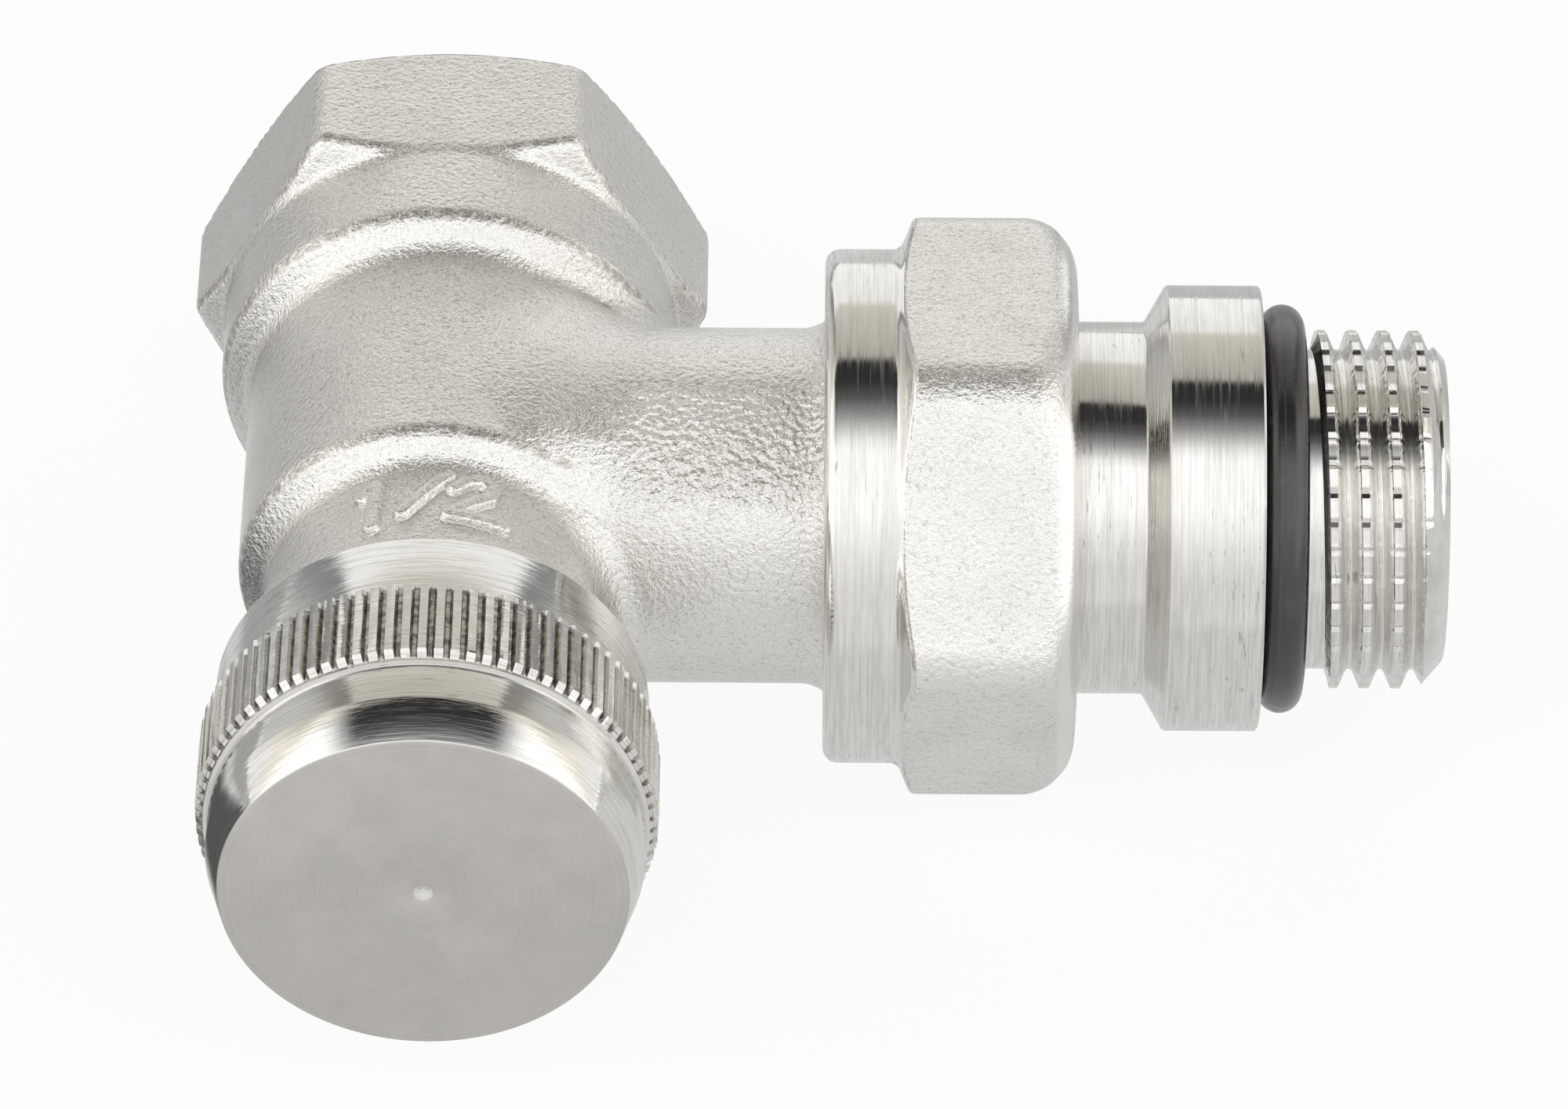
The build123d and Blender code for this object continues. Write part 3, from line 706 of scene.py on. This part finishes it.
def makeCap(spec):
    # Rows of points about the spindle's axis, from the middle of the inner floor, over the rim and the knurl, to
    # the dimple. In the knurl, radius = root + (crest - root) * ribForm, a little uneven from rib to rib.
    chance = np.random.default_rng(spec["seed"])
    ribs = spec["ribs"]
    places = np.array([place for place, level in ribForm[:-1]])
    levels = np.array([level for place, level in ribForm[:-1]])
    skew = chance.normal(0, spec["skew"], (ribs, 1))
    place = places[None, :] + skew * (levels[None, :] > 0.5)
    angle = ((np.arange(ribs)[:, None] + place) * 2 * np.pi / ribs).ravel()
    angle = np.append(angle, angle[0] + 2 * np.pi)[None, :]
    lift = (levels[None, :] * (1 + chance.normal(0, spec["uneven"], (ribs, 1)))).ravel()
    lift = np.append(lift, lift[0])[None, :]
    columns = angle.size
    start, end, edge, count = spec["knurlStart"], spec["knurlEnd"], spec["knurlEdge"], spec["knurlRows"]
    middle = np.linspace(start + edge, end - edge, count)[:, None]
    burr = chance.normal(0, spec["burr"], (count, columns)) * np.clip(lift - 0.5, 0, 0.5) * 2
    burr[:, -1] = burr[:, 0]
    ribRadius = spec["root"] + (spec["crest"] - spec["root"]) * lift + burr
    rise = spec["crest"] - edge
    band, rim, bore, rimEdge = spec["band"], spec["rim"], spec["bore"], spec["rimEdge"]
    mouthLength, mouthRise = spec["mouth"]
    before = [(spec["floor"], 0.0), (spec["floor"], bore), (rim + mouthLength, bore), (rim, bore + mouthRise)]
    before += [(rim + rimEdge * short, band - rimEdge * low) for short, low in reversed(roundForm)]
    before += [(start - 0.05, band)]
    ring, cone, top, face, dimple = spec["ring"], spec["coneStart"], spec["end"], spec["face"], spec["dimple"]
    after = [(end + 0.05, ring), (spec["ringEnd"] - 0.1, ring - 0.02), (spec["ringEnd"], band),
             (cone - 0.06, band), (cone + 0.06, band - 0.03), (top - 0.1, face + 0.02), (top - 0.02, face - 0.05),
             (top, face - 0.12), (top, dimple), (top - 0.05, dimple * 0.72), (top - 0.28, dimple * 0.34),
             (top - spec["dimpleDepth"], 0.0)]
    ends = [(start, np.minimum(ribRadius[:1], rise - 0.12)),
            (start + 0.12, np.minimum(ribRadius[:1], rise + 0.12))]
    tips = [(end - 0.26, np.minimum(ribRadius[-1:], rise + 0.24))]
    circle = np.ones((1, columns))
    before, after = before + ends, tips + after
    height = np.vstack([circle * h for h, r in before] + [middle * circle] + [circle * h for h, r in after])
    radius = np.vstack([circle * r for h, r in before] + [ribRadius] + [circle * r for h, r in after])
    points = onSpindle(height, radius, angle + 0 * height)
    return makePiece("capShell", points.reshape(-1, 3), gridFaces(len(points), columns), spec["crease"])


cap = makeCap(capSpec)
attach(cap, "cap")
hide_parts("cap")
print("cap made:", len(cap.data.polygons), "faces")


castNickel = {
    "light": colour(0.875, 0.86, 0.825),
    "dark": colour(0.34, 0.32, 0.28),
    "cloud": 0.08,  # share of the dark tone in large soft patches
    "pits": 0.42,  # share of the dark tone in the grain's hollows: partly the grain's own tone, partly painted shade
    "specks": 0.22,
    "roughness": 0.15,
    "grain": 0.30,  # size of the blasted grain
    "grainDepth": 0.145,
    "pebble": 0.40,  # size of the coarse grain on the branch
    "pebbleDepth": 0.26,
    "sandDepth": 0.030,
    "edgeShade": 0.60,  # share of the dark tone in a thin line of painted shade along the steps' edges
    # how far the painted shade lines reach from the steps' edges
    "edgeShadeReach": (0.52, 0.16),
}

# Where the castings' finishes lie. A pair is the start and the end of a smooth step, and two more numbers are its
# levels there.
bodyZones = {
    "mouthRadius": 12.8, "mouth": (-0.12, -0.06),
    "bore": (11.0, 10.9), "boreFloor": (-13.0, -12.8),
    "neck": (-42.4, -42.5),
    "union": (23.9, 24.0),
    "branch": (8.5, 13.0),  # the coarse grain lies along the branch, less of it on the flare,
    "flare": (24.0, 22.5, 0.15, 1.0),
    "socketSide": (-26.0, -28.2, 0.15, 1.0),  # on the socket's side and lower down
    "low": (5.6, 8.8, 0.1, 1.0),
    "collarEdge": (-15.0, 13.25),  # Y and radius of the steps' edges
    "barrelEdge": (-32.1, 11.5),
    "coneRadius": 13.3, "coneDrop": 9.3, "coneStart": (-0.50, -0.22), "coneStop": (-0.06, -0.14),
    "coneSide": (13.5, 13.7),
    "ragged": (0.36, 0.56),
}
nutZones = {
    "skirt": 14.9,
    "lean": 0.404,  # the corner cone's slope
    "cone": (26.75, 26.6),
    "bore": (13.5, 13.4),
    "end": (36.66, 36.69),
    "coarse": (0.5, 0.75), "coarseShare": 0.25,
    "rubbed": (35.3, 35.9), "rubbedShare": 0.75,
}

turnedNickel = {
    "light": colour(0.86, 0.85, 0.82),
    "dark": colour(0.48, 0.47, 0.44),
    "roughness": 0.05,
    "streak": 0.22,  # how much rougher the dull lines are
    "fine": 9.0,  # tool marks for each millimetre
    "depth": 0.0022,
    "wave": 0.012,
}


def turnedFinish(place, axial, radial, spec):
    # Tool marks run round the axis: each follows the place along it and the radius, and fades slowly on its way
    x, y, z = place.split()
    along = (axial + radial * 0.93) * spec["fine"]
    lines = along.join(along, (x + y) * 0.10, z * 0.14).noise(1.0, 3.0, 0.65)
    bands = along.join(along * 0.45, (x + y) * 0.32 + 4.0, z * 0.42).noise(1.0, 3.0, 0.6)
    shade = (lines * 0.65 + bands * 0.35).step(0.36, 0.66)
    height = lines * spec["depth"] + bands * spec["wave"]
    dull = (lines * 0.5 + bands * 0.5).step(0.42, 0.68)
    flecks = along.join(along * 0.8, (x + y) * 0.7 + 9.0, z * 0.9).noise(1.0, 2.0, 0.5).step(0.63, 0.72)
    worn = place.noise(0.12, 2.0, 0.5).step(0.48, 0.62)
    shade = (shade * 0.45 + flecks * worn * 0.9).smaller(1.0)
    return shade, height, spec["roughness"] + spec["streak"] * dull


def castFinish(place, coarse, spec):
    # Blasted casting: soft grain, rounded pebbles where it is coarse, and sand over both
    grain = place.noise(1 / spec["grain"], 3.0, 0.6)
    pebble = place.cells(1 / spec["pebble"], 0.9)
    sand = place.noise(8.5, 2.0, 0.6)
    cloud = place.noise(0.16, 4.0, 0.6).step(0.38, 0.7)
    height = (grain * spec["grainDepth"] * (0.75 + coarse * 0.8) + sand * spec["sandDepth"]
              - pebble * coarse * spec["pebbleDepth"])
    # The dark tone in the grain's hollows is partly the grain's own tone and partly painted shade
    pits = (1 - grain).step(0.55, 0.72) * spec["pits"] * (0.7 + 0.7 * coarse)
    pits = pits + sand.step(0.60, 0.74) * spec["specks"]
    tone = (cloud * spec["cloud"] + pits).smaller(0.85)
    return tone, height, spec["roughness"] + 0.12 * sand + 0.06 * cloud


def aboutSpindle(x, y, z):
    return y, (x * x + z * z).root()


def aboutTail(x, y, z):
    return x, ((y - tailAxisY) * (y - tailAxisY) + z * z).root()


def edgeLine(y, radial, edge):
    # 1 on a circle about the spindle, falling to 0 a little way from it
    across, out = y - edge[0], radial - edge[1]
    return (across * across + out * out).root().step(*castNickel["edgeShadeReach"])


def makeCastNickel(name, isNut):
    # Cast skin with the machined faces turned bright
    material, wire = startMaterial(name)
    place = millimetres(wire)
    x, y, z = place.split()
    zones = nutZones if isNut else bodyZones
    if isNut:
        axial, radial = aboutTail(x, y, z)
        cone = (axial - (radial - zones["skirt"]) * zones["lean"]).step(*zones["cone"])
        machined = cone.greater(radial.step(*zones["bore"])).greater(axial.step(*zones["end"]))
        coarse = place.noise(0.3, 2.0).step(*zones["coarse"]) * zones["coarseShare"]
        worn = axial.step(*zones["rubbed"]) * zones["rubbedShare"]
    else:
        axial, radial = aboutSpindle(x, y, z)
        mouth = ((radial - zones["mouthRadius"]) * 0.5 + y * 0.866).step(*zones["mouth"])
        bore = radial.step(*zones["bore"]) * y.step(*zones["boreFloor"])
        neck, union = y.step(*zones["neck"]), x.step(*zones["union"])
        machined = mouth.greater(bore).greater(neck).greater(union)
        coarse = x.step(*zones["branch"]) * x.step(*zones["flare"])
        coarse = coarse * y.step(*zones["socketSide"]) * z.step(*zones["low"])
    tone, castHeight, castRough = castFinish(place, coarse, castNickel)
    if isNut:
        # The rounded end is rubbed smooth
        tone, castHeight = tone * (1 - worn), castHeight * (1 - worn)
    else:
        # Painted shade: dark lines where the two steps' slopes and the hexagon's cone begin
        lines = edgeLine(y, radial, zones["collarEdge"]).greater(edgeLine(y, radial, zones["barrelEdge"]))
        cone = (radial - zones["coneRadius"]) * 0.5 - (y + zones["coneDrop"]) * 0.866
        foot = cone.step(*zones["coneStart"]) * cone.step(*zones["coneStop"]) * radial.step(*zones["coneSide"])
        lines = lines.greater(foot)
        ragged = place.noise(1.6, 3.0, 0.6).step(*zones["ragged"])
        # the painted shade lines, broken up by noise, darken the cast tone
        tone = tone.greater(lines * ragged * castNickel["edgeShade"])
    shade, lineHeight, lineRough = turnedFinish(place, axial, radial, turnedNickel)
    castColour = tone.blend(castNickel["light"], castNickel["dark"])
    lineColour = shade.blend(turnedNickel["light"], turnedNickel["dark"])
    height = castHeight * (1 - machined) + lineHeight * machined
    finishMaterial(wire, {
        "Base Color": machined.blend(castColour, lineColour),
        "Metallic": 1.0,
        "Roughness": castRough * (1 - machined) + lineRough * machined,
        "Normal": height.bump(1.0),
    })
    return material


def makeTurned(name, spec, about, face=None):
    material, wire = startMaterial(name)
    place = millimetres(wire)
    axial, radial = about(*place.split())
    shade, height, rough = turnedFinish(place, axial, radial, spec)
    inputs = {"Base Color": shade.blend(spec["light"], spec["dark"]), "Metallic": 1.0, "Roughness": rough,
              "Normal": height.bump(1.0)}
    if face:
        # Painted shade darkens the knurl's valleys, and the cap's end is faced flat: finer rings, and a duller,
        # even tone
        valley = radial.step(*face["valleyDepth"]) * axial.step(*face["knurlEnd"])
        valley = valley * axial.step(*face["knurlStart"])
        mottle = place.noise(2.2, 2.0, 0.6).step(0.35, 0.65, 0.45, 1.0)
        inputs["Base Color"] = (valley * mottle).blend(inputs["Base Color"], face["valley"])
        flat = axial.step(*face["start"])
        rings = wire.join(radial * face["rings"], 0.0, 0.0).noise(1.0, 3.0, 0.6)
        smear = place.noise(0.35, 3.0, 0.55)
        tone = (rings * 0.45 + smear * 0.55).step(0.3, 0.75).blend(face["light"], face["dark"])
        inputs["Base Color"] = flat.blend(inputs["Base Color"], tone)
        inputs["Roughness"] = rough * (1 - flat) + (face["roughness"] + rings * 0.08) * flat
        inputs["Normal"] = (height * (1 - flat) + rings * flat * face["depth"]).bump(1.0)
    finishMaterial(wire, inputs)
    return material


capFace = {
    "start": (-58.3, -58.35),
    "valleyDepth": (12.82, 12.62),
    "knurlStart": (-46.8, -46.85), "knurlEnd": (-52.6, -52.55),
    # painted shade for the knurl's valleys
    "valley": colour(0.20, 0.19, 0.17),
    "light": colour(0.66, 0.64, 0.605),
    "dark": colour(0.56, 0.545, 0.51),
    "rings": 5.0,
    "roughness": 0.25,
    "depth": 0.0012,
}

blackRubber = {
    "base": colour(0.018, 0.018, 0.020),
    "dust": colour(0.085, 0.085, 0.088),
    "roughness": 0.19,
    "gloss": 0.95,
    "partingReach": 48.35,  # the moulding line round the tail's ring
    "partingWidth": (0.16, 0.05), "partingRadius": (11.4, 11.6),
}


def makeBlackRubber(spec):
    material, wire = startMaterial("blackRubber")
    place = millimetres(wire)
    x, y, z = place.split()
    dust = place.noise(0.8, 4.0, 0.65).step(0.45, 0.8)
    specks = place.noise(5.0, 2.0, 0.5).step(0.66, 0.74) * place.noise(0.5, 2.0, 0.5).step(0.5, 0.6)
    skin = place.noise(7.0, 3.0, 0.6)
    axial, radial = aboutTail(x, y, z)
    parting = (axial - spec["partingReach"]).size().step(*spec["partingWidth"])
    parting = parting * radial.step(*spec["partingRadius"])
    finishMaterial(wire, {
        "Base Color": (dust * 0.3 + specks * 0.8).blend(spec["base"], spec["dust"]),
        "Roughness": spec["roughness"] + 0.2 * dust,
        "Specular IOR Level": spec["gloss"],
        "Normal": (skin * 0.008 - parting * 0.03).bump(1.0),
    })
    return material


plainBrass = {
    "light": colour(0.83, 0.66, 0.34),
    "dark": colour(0.66, 0.49, 0.23),
    "roughness": 0.16,
    "streak": 0.18,
    "fine": 7.0,
    "depth": 0.003,
    "wave": 0.008,
}

springSteel = {
    "light": colour(0.58, 0.58, 0.59),
    "dark": colour(0.42, 0.42, 0.43),
    "roughness": 0.24,
    "streak": 0.12,
    "fine": 6.0,
    "depth": 0.002,
    "wave": 0.004,
}

rubber = makeBlackRubber(blackRubber)
brass = makeTurned("plainBrass", plainBrass, aboutSpindle)
bodyNickel = makeCastNickel("castNickelBody", False)
tailNickel = makeTurned("turnedNickelTail", turnedNickel, aboutTail)
finishes = [
    (body, bodyNickel), (mark, bodyNickel), (threads["neckThread"], bodyNickel),
    (threads["unionThread"], tailNickel), (threads["socketThread"], bodyNickel),
    (nut, makeCastNickel("castNickelNut", True)),
    (cap, makeTurned("turnedNickelCap", turnedNickel, aboutSpindle, capFace)), (tail, tailNickel),
    (nodes["nut_retaining_ring"], makeTurned("springSteel", springSteel, aboutTail)),
]
finishes += [(nodes[name], brass) for name in ("bonnet", "spindle", "valve_disc", "gasket_washer", "disc_screw")]
finishes += [(node, rubber) for name, node in nodes.items() if "o_ring" in name or name.endswith("_gasket")]
for shown, material in finishes:
    shown.data.materials.clear()
    shown.data.materials.append(material)
print("finishes made")


cameraSpec = {
    "target": (19.846, -25.4, -3.794),
    "distance": 604.06,
    "elevation": 41.475,
    "azimuth": 0.36,
    "roll": 0.13,
    "lens": 237.92,
    "sensor": 36.0,
    "clip": (0.01, 50.0),
}


def makeCamera(spec):
    (side, front), (up, level) = sineCosine(spec["azimuth"]), sineCosine(spec["elevation"])
    back = Vector((side * level, -front * level, up))
    data = bpy.data.cameras.new("camera")
    data.lens = spec["lens"]
    data.sensor_width = spec["sensor"]
    camera = bpy.data.objects.new("camera", data)
    bpy.context.scene.collection.objects.link(camera)
    camera.rotation_mode = "QUATERNION"
    aim = (-back).to_track_quat("-Z", "Y").to_matrix() @ Matrix.Rotation(math.radians(spec["roll"]), 3, "Z")
    camera.rotation_quaternion = aim.to_quaternion()
    camera.location = (Vector(spec["target"]) + back * spec["distance"]) * metre
    data.clip_start, data.clip_end = spec["clip"]
    bpy.context.scene.camera = camera


studio = {
    # Brightness of the surroundings by angle about the X axis: 0 is the cap's side, 90 the top, 180 the far side
    "arc": ((-180, 1.0), (-120, 0.8), (-60, 0.7), (-20, 0.78), (2, 0.82), (20, 0.98), (34, 1.16), (42, 1.25),
            (66, 1.25), (71, 1.05), (76, 0.68), (82, 0.34), (90, 0.11), (98, 0.035), (109, 0.03), (112, 0.50),
            (120, 0.56), (142, 0.70), (146, 0.98), (165, 1.06), (180, 1.1)),
    "top": 1.35,
    # The far side's half begins here, as a share of the whole turn
    "far": (0.80, 0.84),
    # Brightness to the left and right, by how far sideways a direction points, on the far side's half
    "flanks": ((0.0, 0.95), (0.44, 0.95), (0.49, 0.26), (0.57, 0.32), (0.64, 0.58), (0.80, 0.66), (0.90, 1.0)),
    "frontFlank": 1.40,
    "farAside": (0.44, 0.48),  # where the flanks take over from the arc
    "frontAside": (0.50, 0.78),
    "warm": colour(1.0, 0.958, 0.875),  # the far wall's tint
    "warmStart": (0.795, 0.805), "warmEnd": (0.91, 0.895),
}


def makeWorld(spec):
    world = bpy.data.worlds.new("studio")
    bpy.context.scene.world = world
    world.use_nodes = True
    world.node_tree.nodes.clear()
    wire = Wire(world.node_tree)
    x, y, z = wire.add("ShaderNodeTexCoord", output="Generated").split()
    turn = wire.math("ARCTAN2", z, 0.0 - y) / (2 * math.pi) + 0.5
    stops = [((angle / 180 + 1) / 2, value / spec["top"]) for angle, value in spec["arc"]]
    arc = turn.ramp(stops) * spec["top"]
    aside = x.size()
    far = turn.step(*spec["far"])
    flank = aside.ramp(spec["flanks"]) * far + spec["frontFlank"] * (1 - far)
    share = aside.step(*spec["farAside"]) * far + aside.step(*spec["frontAside"]) * (1 - far)
    level = arc * (1 - share) + flank * share
    seen = wire.add("ShaderNodeLightPath", output="Is Camera Ray")
    warm = turn.step(*spec["warmStart"]) * turn.step(*spec["warmEnd"]) * (1 - seen)
    tint = warm.blend(colour(1, 1, 1), spec["warm"])
    light = wire.add("ShaderNodeBackground", {"Color": tint, "Strength": level * (1 - seen) + seen})
    wire.add("ShaderNodeOutputWorld", {"Surface": light})


floorSpec = {
    "size": 3000.0,
    "height": -15.8,
    "colour": colour(0.80, 0.80, 0.80),
    "shadow": 0.12,  # how much of the floor's own shading the camera sees
    "white": 1.03,
    "gleam": 0.72,  # how bright polished faces see the floor
    "glossyShare": 0.85,
    "card": 0.70,  # less of it over a dark card beside the cap, to the left
    "cardSide": (-16.0, -26.0), "cardFront": (-62.0, -50.0), "cardBack": (-14.0, -26.0),
    "left": 0.34,  # and somewhat less behind it on each side
    "leftSide": (-26.0, -40.0), "leftFront": (-14.0, 4.0),
    "right": 0.16, "rightSide": (20.0, 36.0), "rightFront": (14.0, 30.0),
    "apron": 0.12,  # a little more of it well in front of the cap
    "apronBack": (-66.0, -92.0),
}


def makeFloor(spec):
    half = spec["size"] / 2
    corners = [(half * x, half * y, spec["height"]) for x, y in ((-1, -1), (1, -1), (1, 1), (-1, 1))]
    floor = makePiece("floor", corners, [[0, 1, 2, 3]], None, [[0, 0, 1.0]] * 4)
    material, wire = startMaterial("paleFloor")
    matt = wire.add("ShaderNodeBsdfDiffuse", {"Color": spec["colour"]})
    clear = wire.add("ShaderNodeBsdfTransparent")
    seen = wire.add("ShaderNodeLightPath", output="Is Camera Ray")
    below = wire.add("ShaderNodeNewGeometry", output="Backfacing")
    glossy = wire.add("ShaderNodeLightPath", output="Is Glossy Ray")
    x, y, z = millimetres(wire).split()
    card = x.step(*spec["cardSide"]) * y.step(*spec["cardFront"]) * y.step(*spec["cardBack"]) * spec["card"]
    card = card + x.step(*spec["leftSide"]) * y.step(*spec["leftFront"]) * spec["left"]
    card = card + x.step(*spec["rightSide"]) * y.step(*spec["rightFront"]) * spec["right"]
    apron = y.step(*spec["apronBack"]) * spec["apron"]
    strength = seen * spec["white"] + glossy * (spec["gleam"] + apron - card)
    white = wire.add("ShaderNodeEmission", {"Color": colour(1, 1, 1), "Strength": strength})
    share = seen * (1 - spec["shadow"]) + glossy * spec["glossyShare"]
    pale = wire.add("ShaderNodeMixShader", {0: share, 1: matt, 2: white})
    both = wire.add("ShaderNodeMixShader", {0: below, 1: pale, 2: clear})
    wire.add("ShaderNodeOutputMaterial", {"Surface": both})
    floor.data.materials.append(material)


makeCamera(cameraSpec)
makeWorld(studio)
makeFloor(floorSpec)
bpy.context.scene.view_settings.view_transform = "Standard"
print("camera, floor and light ready")
